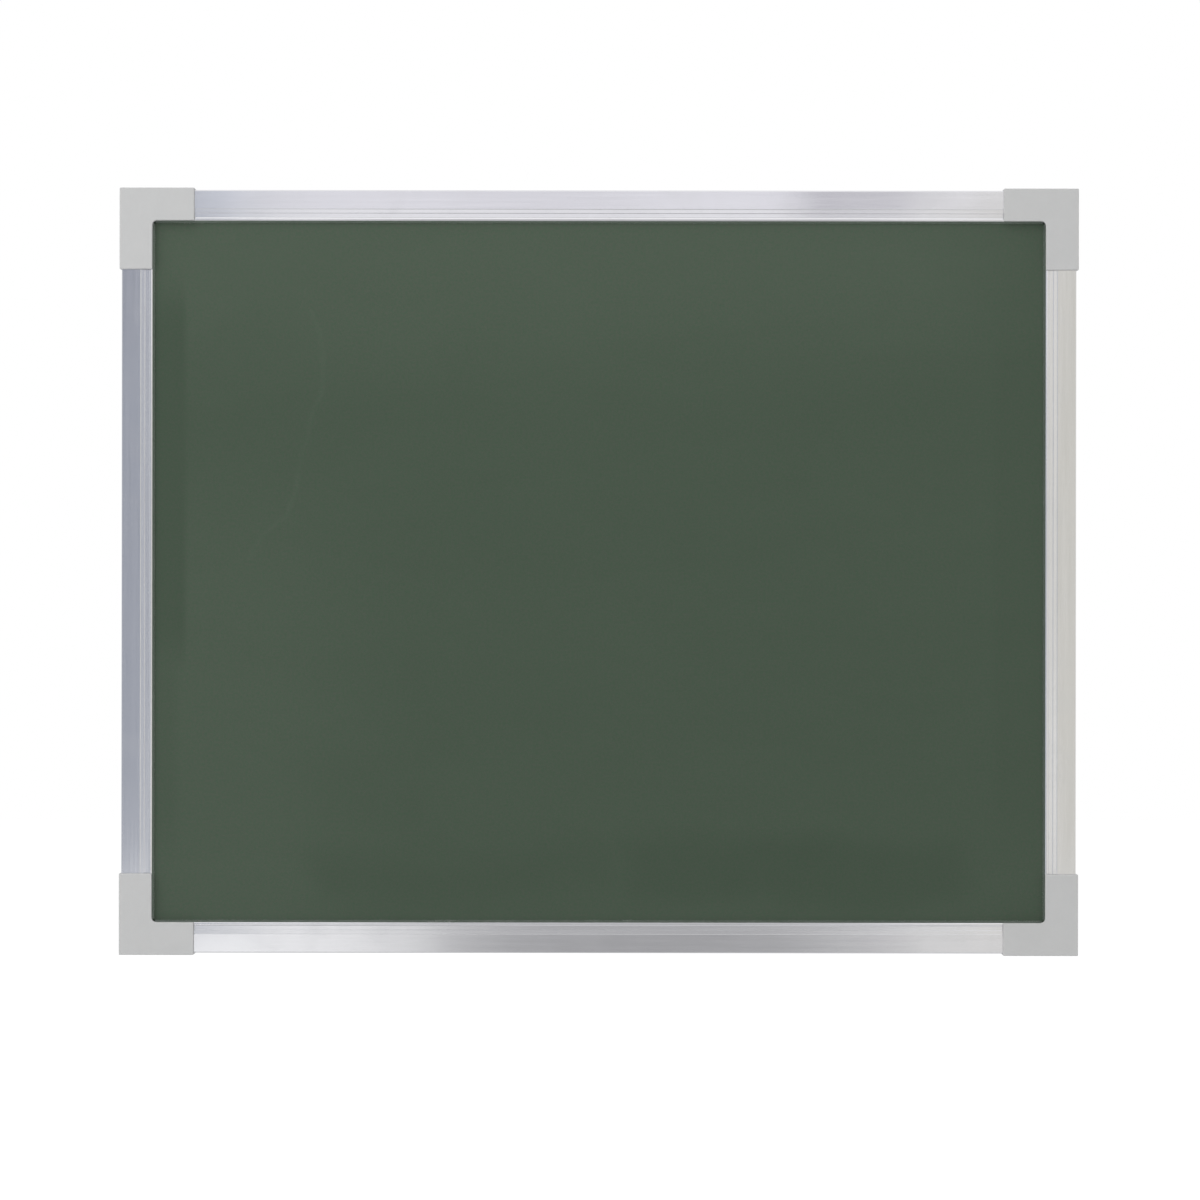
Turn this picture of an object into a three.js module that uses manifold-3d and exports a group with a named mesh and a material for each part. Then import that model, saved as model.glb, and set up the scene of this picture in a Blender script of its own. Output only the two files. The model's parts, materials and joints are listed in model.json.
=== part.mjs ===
// A small wall-hung chalkboard: a green steel writing sheet on a fibreboard core, held in the
// channels of four hollow aluminium rails. Plastic blocks plug the rails together at the corners
// and take the wall screws, and a push-on L-shaped cover hides each corner.
//
// Millimetres, +Z up. The board faces -Y. The wall is the plane y = 0, and the origin is the
// middle of the board on it. A depth is a distance from the wall, so a depth d lies at y = -d.
// An inset is a distance inwards from the outer sides of the rails.

import * as THREE from 'three';
import { mergeVertices } from 'three/addons/utils/BufferGeometryUtils.js';
import Module from 'manifold-3d';

// Overall size, over the corner covers
const boardWidth = 500;
const boardHeight = 400;

// Rails, one extrusion for all four sides: a hollow chamber outside, a channel for the panel inside
const railFace = 16;
const railWall = 1.3;
const chamberWidth = 6.6;
const backLip = 5.3;
const lipHeight = 2.7;
const outerRadius = 0.6;

// The front of a rail, from its inner side: flank, bead, recess, rib, broad flat band
const flankSlope = THREE.MathUtils.degToRad(57);
const flankFoot = 0.1;
const beadRadius = 1.2;
const beadDrop = 0.4;
const recessWidth = 2;
const recessDrop = 0.8;
const ribWidth = 2.1;
const ribDrop = 0.3;
const stepRun = 0.25;

// Panel layers, from the wall outwards
const backSheetThickness = 0.3;
const coreThickness = 7.7;
const writingSheetThickness = 0.4;
const glueLine = 0.1;
const panelFit = 0.2;
const panelEdgeGap = 0.6;

// Corner blocks
const blockLip = 2.1;
const blockPlate = 1.9;
const blockFit = 0.3;
const tongueLength = 26;
const tongueTaper = 1.5;
const tongueTaperRun = 0.6;
const wallHole = 4.6;
const wallWell = 9.5;
const wallFloor = 5;
const socketDepth = 4.8;
const socketWall = 1.7;

// Corner covers
const coverAcross = 39;
const coverUpright = 42.5;
const coverWall = 1;
const coverPlate = 1.4;
const coverFit = 0.1;
const coverEdge = 0.5;
const coverCorner = 2.5;
const coverBackGap = 0.6;
const pegRadius = 1.15;
const pegTipRadius = 0.9;
const pegFit = 0.1;
const pegTipGap = 0.3;

// Rail screws, countersunk, driven from the back
const screwAlong = 13;
const screwLength = 9.5;
const screwRadius = 1.45;
const screwCore = 1.1;
const screwPoint = 2.4;
const screwPitch = 1.1;
const headRadius = 2.75;
const headHeight = 1.7;
const headRim = 0.25;
const headSink = 0.05;
const crossArm = 1.6;
const crossSlot = 0.8;
const crossDepth = 1.1;
const screwFit = 0.1;

// Facets of round shapes, and how far a cut runs past the face that it leaves
const holeSides = 20;
const screwSides = 12;
const arcSteps = 5;
const cutLead = 1;

// The frame of rails that the covers go over
const coverOut = coverWall + coverFit;
const frameWidth = boardWidth - 2 * coverOut;
const frameHeight = boardHeight - 2 * coverOut;

// Insets of the rail's chamber and of the web between the chamber and the channel
const chamberEnd = railWall + chamberWidth;
const webInset = chamberEnd + railWall;
const chamberMiddle = webInset / 2;

// Depths of the panel's layers, the channel's front and the rail's front
const backSheetDepth = railWall + panelFit;
const coreDepth = backSheetDepth + backSheetThickness + glueLine;
const writingSheetDepth = coreDepth + coreThickness + glueLine;
const lipDepth = writingSheetDepth + writingSheetThickness + panelFit;
const railDepth = lipDepth + lipHeight;

// The front of a rail, worked out: the bead touches its flank where the bright face ends
const beadNormal = Math.PI / 2 - flankSlope;
const beadInset = railFace - beadRadius * Math.cos(beadNormal);
const beadDepth = railDepth - beadDrop - beadRadius;
const flankTop = beadDepth + beadRadius * Math.sin(beadNormal);
const lipInset = railFace + (flankTop - lipDepth - flankFoot) / Math.tan(flankSlope);
const recessFloor = railDepth - recessDrop;
const beadStart = Math.PI - Math.asin((recessFloor - beadDepth) / beadRadius);
const recessEnd = beadInset + beadRadius * Math.cos(beadStart);
const recessInset = recessEnd - recessWidth;
const ribInset = recessInset - ribWidth;
const ribFace = railDepth - ribDrop;

// Insets of the blocks' parts, of the rail ends and of the panel's edges and notches
const bodyInset = railFace - blockLip;
const armInset = lipInset + blockFit / 2;
const railStart = armInset + blockFit;
const notchInset = bodyInset + blockFit;
const panelInset = webInset + panelEdgeGap;
const screwInset = railStart + screwAlong;
const wallHoleInset = bodyInset / 2;
const socketRadius = pegRadius + pegFit;
const socketSide = socketWall + socketRadius;
const socketAlong = armInset - socketWall - socketRadius;
const blockFront = lipDepth + blockPlate;

// Depths of the covers' plate, and of its thicker part over the rib, recess and bead
const coverUnder = railDepth + coverFit;
const coverFront = coverUnder + coverPlate;
const coverFill = ribFace + coverFit;
const past = coverAcross + coverUpright;

const aluminium = new THREE.MeshStandardMaterial({ color: 0xc9cacf, roughness: 0.38, metalness: 1 });
const coverPlastic = new THREE.MeshStandardMaterial({ color: 0xc2c2c2, roughness: 0.55, metalness: 0 });
const blockPlastic = new THREE.MeshStandardMaterial({ color: 0x9a9b9c, roughness: 0.6, metalness: 0 });
const chalkGreen = new THREE.MeshStandardMaterial({ color: 0x4a5649, roughness: 0.85, metalness: 0 });
const fibreboard = new THREE.MeshStandardMaterial({ color: 0x9b7a52, roughness: 0.9, metalness: 0 });
const galvanised = new THREE.MeshStandardMaterial({ color: 0xa9adb0, roughness: 0.5, metalness: 1 });
const zincSteel = new THREE.MeshStandardMaterial({ color: 0xb9bcc0, roughness: 0.35, metalness: 1 });

const wasm = await Module();
wasm.setup();

// A closed geometry becomes a solid that can be joined and cut.
function solid(geometry) {
  const bare = geometry.clone();
  bare.deleteAttribute('normal');
  bare.deleteAttribute('uv');
  const merged = mergeVertices(bare, 1e-4);
  const vertProperties = new Float32Array(merged.attributes.position.array);
  const triVerts = new Uint32Array(merged.index.array);
  return new wasm.Manifold(new wasm.Mesh({ numProp: 3, vertProperties, triVerts }));
}

// A solid goes back to a mesh with its name and material.
function piece(name, shape, material) {
  const data = shape.getMesh();
  const geometry = new THREE.BufferGeometry();
  geometry.setAttribute('position', new THREE.BufferAttribute(data.vertProperties, 3));
  geometry.setIndex(new THREE.BufferAttribute(data.triVerts, 1));
  geometry.computeVertexNormals();
  const mesh = new THREE.Mesh(geometry, material);
  mesh.name = name;
  return mesh;
}

// A box between two values of x, of z and of depth.
function box(x0, x1, z0, z1, from, to) {
  const geometry = new THREE.BoxGeometry(x1 - x0, to - from, z1 - z0);
  return solid(geometry.translate((x0 + x1) / 2, -(from + to) / 2, (z0 + z1) / 2));
}

// A round post square to the wall, which may taper from one depth to the other.
function post(x, z, from, to, radius, endRadius = radius) {
  const geometry = new THREE.CylinderGeometry(radius, endRadius, to - from, holeSides);
  return solid(geometry.translate(x, -(from + to) / 2, z));
}

// A round solid square to the wall, from its outline as pairs of radius and depth.
function turned(x, z, sides, outline) {
  const points = outline.map(([radius, depth]) => new THREE.Vector2(radius, -depth));
  return solid(new THREE.LatheGeometry(points.reverse(), sides).translate(x, 0, z));
}

// A flat outline in x and z, pushed from one depth to another.
function slab(outline, from, to) {
  const depth = to - from;
  const geometry = new THREE.ExtrudeGeometry(outline, { depth, bevelEnabled: false, curveSegments: arcSteps });
  return solid(geometry.translate(0, 0, from).rotateX(Math.PI / 2));
}

// A section in outward distance and depth, already extruded, laid down to run along x.
function laidAlongX(geometry) {
  const outward = new THREE.Vector3(0, 0, 1);
  const depth = new THREE.Vector3(0, -1, 0);
  const along = new THREE.Vector3(1, 0, 0);
  return geometry.applyMatrix4(new THREE.Matrix4().makeBasis(outward, depth, along));
}

// The outline of a rail's section: x is minus the inset and y is the depth.
function railSection() {
  const section = new THREE.Shape();
  section.moveTo(0, 0);
  section.lineTo(-webInset - backLip, 0);
  section.lineTo(-webInset - backLip, railWall);
  section.lineTo(-webInset, railWall);
  section.lineTo(-webInset, lipDepth);
  section.lineTo(-lipInset, lipDepth);
  section.lineTo(-lipInset, lipDepth + flankFoot);
  section.absarc(-beadInset, beadDepth, beadRadius, Math.PI - beadNormal, Math.PI - beadStart, true);
  section.lineTo(-recessInset, recessFloor);
  section.lineTo(-recessInset + stepRun, ribFace);
  section.lineTo(-ribInset, ribFace);
  section.lineTo(-ribInset + stepRun, railDepth);
  section.absarc(-outerRadius, railDepth - outerRadius, outerRadius, Math.PI / 2, 0, true);
  return section;
}

// The hole for a rail screw, countersunk from the wall side.
function screwHole(x, z) {
  const neck = screwRadius + screwFit;
  const mouth = headRadius + screwFit;
  return turned(x, z, holeSides, [
    [0, -cutLead],
    [mouth, -cutLead],
    [mouth, headSink + headRim],
    [neck, headSink + headHeight],
    [neck, headSink + screwLength + screwFit],
    [0, headSink + screwLength + screwFit],
  ]);
}

// A rail along the top of a frame of the given span, whose upper side is at the given height.
function rail(span, height) {
  const depth = span - 2 * railStart;
  const extruded = new THREE.ExtrudeGeometry(railSection(), { depth, bevelEnabled: false, curveSegments: arcSteps });
  const bar = solid(laidAlongX(extruded.translate(0, 0, -depth / 2)).translate(0, 0, height));
  const screwX = span / 2 - screwInset;
  const screwZ = height - chamberMiddle;
  return bar
    .subtract(box(-span / 2, span / 2, height - chamberEnd, height - railWall, railWall, railDepth - railWall))
    .subtract(screwHole(screwX, screwZ))
    .subtract(screwHole(-screwX, screwZ));
}

// A layer of the panel: a rectangle with a square notch at each corner, where the blocks are.
function panelLayer(from, thickness) {
  const edgeX = frameWidth / 2 - panelInset;
  const edgeZ = frameHeight / 2 - panelInset;
  const notchX = frameWidth / 2 - notchInset;
  const notchZ = frameHeight / 2 - notchInset;
  const points = [];
  for (const [signX, signZ] of [[1, 1], [-1, 1], [-1, -1], [1, -1]]) {
    const notch = [[edgeX, notchZ], [notchX, notchZ], [notchX, edgeZ]];
    const ordered = signX * signZ > 0 ? notch : notch.reverse();
    points.push(...ordered.map(([x, z]) => new THREE.Vector2(signX * x, signZ * z)));
  }
  return slab(new THREE.Shape(points), from, from + thickness);
}

// The corner pieces are drawn for the lower left corner, where x and z are insets.

// The tongue that plugs into the rail along x, with tapered ends, one of them inside the block.
function tongue() {
  const side = railWall + blockFit;
  const front = railDepth - side;
  const section = new THREE.Shape();
  section.moveTo(side, side);
  section.lineTo(webInset - side, side);
  section.lineTo(webInset - side, front);
  section.lineTo(side, front);
  const root = armInset - socketWall;
  const geometry = new THREE.ExtrudeGeometry(section, {
    depth: tongueLength + socketWall - 2 * tongueTaper,
    bevelThickness: tongueTaper,
    bevelSize: tongueTaperRun,
    bevelOffset: -tongueTaperRun,
    bevelSegments: 1,
  });
  return laidAlongX(geometry.translate(0, 0, root + tongueTaper));
}

// The block: an L as deep as the rails, a body inside it, and plates over the panel's notch.
function cornerBlock() {
  const across = tongue();
  const upright = across.clone().rotateY(-Math.PI / 2).translate(webInset, 0, 0);
  const middle = wallHoleInset;
  return box(0, armInset, 0, webInset, 0, railDepth)
    .add(box(0, webInset, 0, armInset, 0, railDepth))
    .add(box(0, bodyInset, 0, bodyInset, 0, blockFront))
    .add(box(0, railFace, 0, railFace, 0, railWall))
    .add(box(0, railFace, 0, railFace, lipDepth, blockFront))
    .add(solid(across))
    .add(solid(upright))
    .subtract(post(middle, middle, -cutLead, railDepth + cutLead, wallHole / 2))
    .subtract(post(middle, middle, wallFloor, railDepth + cutLead, wallWell / 2))
    .subtract(post(socketAlong, socketSide, railDepth - socketDepth, railDepth + cutLead, socketRadius))
    .subtract(post(socketSide, socketAlong, railDepth - socketDepth, railDepth + cutLead, socketRadius))
    .subtract(screwHole(screwInset, chamberMiddle))
    .subtract(screwHole(chamberMiddle, screwInset));
}

// The space over the panel at this corner, with its rounded corner and a chamfer at the front.
function openingPlug() {
  const middle = railFace + coverCorner;
  const outline = new THREE.Shape();
  outline.moveTo(past, railFace);
  outline.lineTo(past, past);
  outline.lineTo(railFace, past);
  outline.absarc(middle, middle, coverCorner, Math.PI, 1.5 * Math.PI, false);
  const flare = new THREE.ExtrudeGeometry(outline, {
    depth: coverEdge,
    curveSegments: arcSteps,
    bevelThickness: coverEdge,
    bevelSize: coverEdge,
    bevelSegments: 1,
  });
  return slab(outline, lipDepth, coverFront).add(solid(flare.translate(0, 0, coverFront).rotateX(Math.PI / 2)));
}

// A peg of the cover, from its tip in the block's socket to the cover's plate.
function peg(x, z) {
  const tip = railDepth - socketDepth + pegTipGap;
  return post(x, z, tip, coverUnder + coverPlate / 2, pegTipRadius, pegRadius);
}

// The cover: a tray with bevelled edges, hollowed for the rails, cut open over the panel.
function cornerCover() {
  const outline = new THREE.Shape();
  outline.moveTo(-coverOut, -coverOut);
  outline.lineTo(coverAcross - coverOut, -coverOut);
  outline.lineTo(coverAcross - coverOut, coverUpright - coverOut);
  outline.lineTo(-coverOut, coverUpright - coverOut);
  const geometry = new THREE.ExtrudeGeometry(outline, {
    depth: coverFront - coverBackGap - 2 * coverEdge,
    bevelThickness: coverEdge,
    bevelSize: coverEdge,
    bevelOffset: -coverEdge,
    bevelSegments: 2,
  });
  const tray = solid(geometry.translate(0, 0, coverBackGap + coverEdge).rotateX(Math.PI / 2));
  const ledge = box(ribInset + coverFit, past, ribInset + coverFit, past, coverFill, coverFront);
  const hollow = box(-coverFit, past, -coverFit, past, -cutLead, coverUnder).subtract(ledge);
  return tray
    .subtract(hollow)
    .subtract(openingPlug())
    .add(peg(socketAlong, socketSide))
    .add(peg(socketSide, socketAlong));
}

// A rail screw: countersunk head with a cross recess, ridged shank and point.
function railScrew(x, z) {
  const neck = headSink + headHeight;
  const tip = headSink + screwLength;
  const outline = [[0, headSink], [headRadius, headSink], [headRadius, headSink + headRim], [screwRadius, neck]];
  for (let ridge = neck + screwPitch; ridge < tip - screwPoint; ridge += screwPitch) {
    outline.push([screwCore, ridge - screwPitch / 2], [screwRadius, ridge]);
  }
  outline.push([screwCore, tip - screwPoint], [0, tip]);
  const arm = crossArm;
  const slot = crossSlot / 2;
  const floor = headSink + crossDepth;
  return turned(x, z, screwSides, outline)
    .subtract(box(x - arm, x + arm, z - slot, z + slot, -cutLead, floor))
    .subtract(box(x - slot, x + slot, z - arm, z + arm, -cutLead, floor));
}

// Everything at one corner. The lower left corner's pieces are mirrored to the other three.
function corner(side, end) {
  const group = new THREE.Group();
  const pieces = new THREE.Group();
  pieces.position.set(-frameWidth / 2, 0, -frameHeight / 2);
  pieces.add(
    piece(`corner_block_${end}_${side}`, cornerBlock(), blockPlastic),
    piece(`corner_cover_${end}_${side}`, cornerCover(), coverPlastic),
    piece(`rail_screw_${end}_${side}`, railScrew(screwInset, chamberMiddle), zincSteel),
    piece(`rail_screw_${side}_${end}`, railScrew(chamberMiddle, screwInset), zincSteel)
  );
  group.add(pieces);
  group.scale.set(side === 'left' ? 1 : -1, 1, end === 'bottom' ? 1 : -1);
  return group;
}

function panel() {
  const group = new THREE.Group();
  group.add(
    piece('back_sheet', panelLayer(backSheetDepth, backSheetThickness), galvanised),
    piece('core_board', panelLayer(coreDepth, coreThickness), fibreboard),
    piece('writing_sheet', panelLayer(writingSheetDepth, writingSheetThickness), chalkGreen)
  );
  return group;
}

// The rails are drawn along the top and turned about the board's middle to their own sides.
function rails() {
  const group = new THREE.Group();
  const sides = [
    ['rail_top', frameWidth, frameHeight / 2, 0],
    ['rail_left', frameHeight, frameWidth / 2, -Math.PI / 2],
    ['rail_bottom', frameWidth, frameHeight / 2, Math.PI],
    ['rail_right', frameHeight, frameWidth / 2, Math.PI / 2],
  ];
  for (const [name, span, height, turn] of sides) {
    const mesh = piece(name, rail(span, height), aluminium);
    mesh.rotation.y = turn;
    group.add(mesh);
  }
  return group;
}

const chalkboard = new THREE.Group();
chalkboard.add(panel(), rails());
for (const end of ['bottom', 'top']) {
  for (const side of ['left', 'right']) {
    chalkboard.add(corner(side, end));
  }
}

export default chalkboard;
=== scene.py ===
"""A small wall-hung chalkboard: a green coated steel sheet in satin aluminium rails, with
plastic corner covers that push on over corner blocks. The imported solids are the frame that
every piece is built on. Sizes in the classes are millimetres, and meshes are metres. The board
faces -Y, the wall is the plane y = 0, a depth is a distance out from the wall, and an inset is
a distance inwards from the outer sides of the rails.
"""

import json
import logging
import math
from abc import ABC, abstractmethod
from dataclasses import dataclass, field
from enum import Enum
from functools import reduce
from typing import Any, Callable, Iterable, Sequence

import bmesh
import bpy
from mathutils import Matrix, Vector

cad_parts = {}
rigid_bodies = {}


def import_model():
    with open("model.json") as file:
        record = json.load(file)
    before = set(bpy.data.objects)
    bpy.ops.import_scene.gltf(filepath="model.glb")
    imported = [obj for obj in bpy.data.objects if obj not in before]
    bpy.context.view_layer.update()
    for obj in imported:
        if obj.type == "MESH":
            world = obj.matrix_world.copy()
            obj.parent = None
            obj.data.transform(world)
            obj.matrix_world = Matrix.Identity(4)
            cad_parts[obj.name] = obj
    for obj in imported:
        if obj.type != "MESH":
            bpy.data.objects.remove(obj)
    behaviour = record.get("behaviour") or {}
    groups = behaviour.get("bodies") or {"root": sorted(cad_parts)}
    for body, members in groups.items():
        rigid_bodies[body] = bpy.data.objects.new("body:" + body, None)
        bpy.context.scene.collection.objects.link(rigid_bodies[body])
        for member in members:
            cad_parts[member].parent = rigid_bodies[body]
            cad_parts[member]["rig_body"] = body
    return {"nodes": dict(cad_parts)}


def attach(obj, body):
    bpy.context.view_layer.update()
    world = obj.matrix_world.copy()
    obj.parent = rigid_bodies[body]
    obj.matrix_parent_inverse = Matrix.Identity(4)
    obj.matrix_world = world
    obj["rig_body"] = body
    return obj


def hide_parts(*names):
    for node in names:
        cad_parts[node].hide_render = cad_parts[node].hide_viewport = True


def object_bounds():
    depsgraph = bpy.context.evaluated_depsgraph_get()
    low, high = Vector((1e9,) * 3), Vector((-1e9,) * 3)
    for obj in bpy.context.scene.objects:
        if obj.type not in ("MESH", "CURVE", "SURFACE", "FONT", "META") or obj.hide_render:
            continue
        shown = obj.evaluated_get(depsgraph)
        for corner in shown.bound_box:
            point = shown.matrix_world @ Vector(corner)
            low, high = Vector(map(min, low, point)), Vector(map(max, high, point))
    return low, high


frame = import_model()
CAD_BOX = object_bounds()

log = logging.getLogger("chalkboard")

MM = 0.001
DOUBLED = 1e-7
NEAR = 1e-6
Colour = tuple[float, float, float]
Pair = tuple[float, float]
Socket = bpy.types.NodeSocket


class Side(Enum):
    """The left or right side of the board, as the sign of x."""

    LEFT = -1
    RIGHT = 1


class End(Enum):
    """The bottom or top of the board, as the sign of z."""

    BOTTOM = -1
    TOP = 1


CORNERS = tuple((end, side) for end in End for side in Side)


class Run(Enum):
    """The way a rail runs, with the turn that lays its drawn lines along x."""

    LEVEL = 0.0
    UPRIGHT = math.pi / 2


class Plane(Enum):
    """The plane of a patch or a card, as the number of the axis square to it."""

    SIDE = 0
    FACE = 1
    LEVEL = 2

    def lay(self, first: float, second: float, square: float) -> Vector:
        """Returns a point in metres.

        Args:
            first: its measure along the plane's first axis, in mm.
            second: its measure along the second.
            square: its measure along the axis square to the plane.
        """
        measures = [first, second]
        measures.insert(self.value, square)
        return Vector(measures) * MM


class Shape(Enum):
    """How a change from dark to light runs between two values."""

    STRAIGHT = "LINEAR"
    EASED = "SMOOTHSTEP"


def times(colour: Colour, share: float) -> Colour:
    """Returns a colour made darker or lighter."""
    return tuple(share * part for part in colour)


# --------------------------------------------------------------------------- node work


class Bench:
    """Places nodes in one node tree and joins their sockets."""

    ROW = 14
    STEP = (190, -210)

    def __init__(self, tree: bpy.types.NodeTree) -> None:
        """Keeps the material's, world's or group's tree that the nodes go in."""
        self.tree = tree

    def feed(self, socket: Socket, value: Any) -> None:
        """Joins a socket to another, or sets its plain value.

        Args:
            socket: the input that takes the value.
            value: an output socket, a number, or a colour or vector of three numbers.
        """
        if isinstance(value, bpy.types.NodeSocket):
            self.tree.links.new(value, socket)
        elif socket.type == "RGBA" and len(value) == 3:
            socket.default_value = (*value, 1.0)
        else:
            socket.default_value = value

    def supply(self, node: bpy.types.Node, values: dict[Any, Any]) -> None:
        """Feeds a node's inputs, by name or number."""
        for key, value in values.items():
            self.feed(node.inputs[key], value)

    def add(self, kind: str, values: dict[Any, Any] | None = None, **settings: Any) -> bpy.types.Node:
        """Adds a node.

        Args:
            kind: the node's type.
            values: values for its inputs, by name or number.
            settings: the node's own settings.

        Returns:
            The new node.
        """
        node = self.tree.nodes.new(kind)
        row, column = divmod(len(self.tree.nodes), self.ROW)
        node.location = (self.STEP[0] * column, self.STEP[1] * row)
        for name, value in settings.items():
            setattr(node, name, value)
        self.supply(node, values or {})
        return node

    def out(self, kind: str, values: dict[Any, Any] | None = None, **settings: Any) -> Socket:
        """Adds a node and returns its first output."""
        return self.add(kind, values, **settings).outputs[0]

    def coordinates(self) -> Socket:
        """Returns the place on the piece in metres, in the board's frame."""
        return self.add("ShaderNodeTexCoord").outputs["Object"]

    def calc(self, operation: str, *values: Any) -> Socket:
        """Works out one number from others, by an operation of the Math node."""
        return self.out("ShaderNodeMath", dict(enumerate(values)), operation=operation)

    def blended(self, first: Socket, second: Socket, share: float) -> Socket:
        """Adds up two numbers: a share of the first, and the rest of the second."""
        return self.calc("MULTIPLY_ADD", first, share, self.calc("MULTIPLY", second, 1 - share))

    def most(self, operation: str, values: Iterable[Socket]) -> Socket:
        """Returns the greatest of some numbers for MAXIMUM, or the least for MINIMUM."""
        return reduce(lambda first, second: self.calc(operation, first, second), values)

    def vector(self, operation: str, *values: Any, output: str = "Vector") -> Socket:
        """Works out a vector from others, or a number if the output is Value."""
        node = self.add("ShaderNodeVectorMath", dict(enumerate(values)), operation=operation)
        return node.outputs[output]

    def scaled(self, vector: Any, share: Any) -> Socket:
        """Returns a vector times a number."""
        return self.out("ShaderNodeVectorMath", {0: vector, "Scale": share}, operation="SCALE")

    def mapped(
        self, place: Socket, scale: Any = (1, 1, 1), turn: Any = (0, 0, 0), shift: Any = (0, 0, 0)
    ) -> Socket:
        """Makes a pattern's place finer, turns it by radians and shifts it, along or about each axis."""
        values = {"Vector": place, "Scale": scale, "Rotation": turn, "Location": shift}
        return self.out("ShaderNodeMapping", values)

    def noise(
        self, place: Socket, scale: Any, detail: float = 2, rough: float = 0.5, bend: float = 0
    ) -> Socket:
        """Returns a noise from 0 to 1, whose scale is how many of its cells go into a metre."""
        values = {"Vector": place, "Scale": scale, "Detail": detail, "Roughness": rough, "Distortion": bend}
        return self.out("ShaderNodeTexNoise", values)

    def shaken(self, place: Socket, scale: float, detail: float, reach: Colour) -> Socket:
        """Moves each place about by a noise.

        Args:
            place: the place on the piece.
            scale: how many of the noise's cells go into a metre.
            detail: how many finer layers it has.
            reach: how far it moves the place along each axis, in metres.

        Returns:
            The moved place.
        """
        values = {"Vector": place, "Scale": scale, "Detail": detail}
        drift = self.add("ShaderNodeTexNoise", values).outputs["Color"]
        centred = self.vector("SUBTRACT", drift, (0.5, 0.5, 0.5))
        return self.vector("ADD", place, self.vector("MULTIPLY", centred, reach))

    def spread(
        self, value: Socket, start: Pair, end: Pair = (0, 1), shape: Shape = Shape.STRAIGHT
    ) -> Socket:
        """Maps a number from one range to another, and stops at its ends."""
        values = {0: value, 1: start[0], 2: start[1], 3: end[0], 4: end[1]}
        return self.out("ShaderNodeMapRange", values, interpolation_type=shape.value)

    def tint(self, share: Any, first: Any, second: Any, blend: str = "MIX") -> Socket:
        """Mixes two colours, with a share of the second."""
        values = {0: share, 6: first, 7: second}
        return self.add("ShaderNodeMix", values, data_type="RGBA", blend_type=blend).outputs[2]

    def bump(self, height: Socket, depth: float, strength: float) -> Socket:
        """Returns the normal of a surface that a pattern raises by a depth in metres."""
        return self.out("ShaderNodeBump", {"Height": height, "Distance": depth, "Strength": strength})

    def glow(self, colour: Colour, strength: float = 1.0) -> Socket:
        """Returns a plain glow."""
        return self.out("ShaderNodeEmission", {"Color": colour, "Strength": strength})

    def mixed(self, share: Socket, first: Socket, second: Socket) -> Socket:
        """Mixes two shaders, with a share of the second."""
        return self.out("ShaderNodeMixShader", {0: share, 1: first, 2: second})

    def seen(self) -> Socket:
        """Returns 1 for what is looked at, straight, in a reflection or through glass, and else 0."""
        rays = self.add("ShaderNodeLightPath").outputs
        return self.most("MAXIMUM", [rays[f"Is {ray} Ray"] for ray in ("Camera", "Glossy", "Transmission")])


@dataclass(frozen=True)
class Port:
    """One input or output of an effect."""

    name: str
    kind: str = "NodeSocketFloat"
    value: Any = None


PLACE = Port("Place", "NodeSocketVector")


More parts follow.
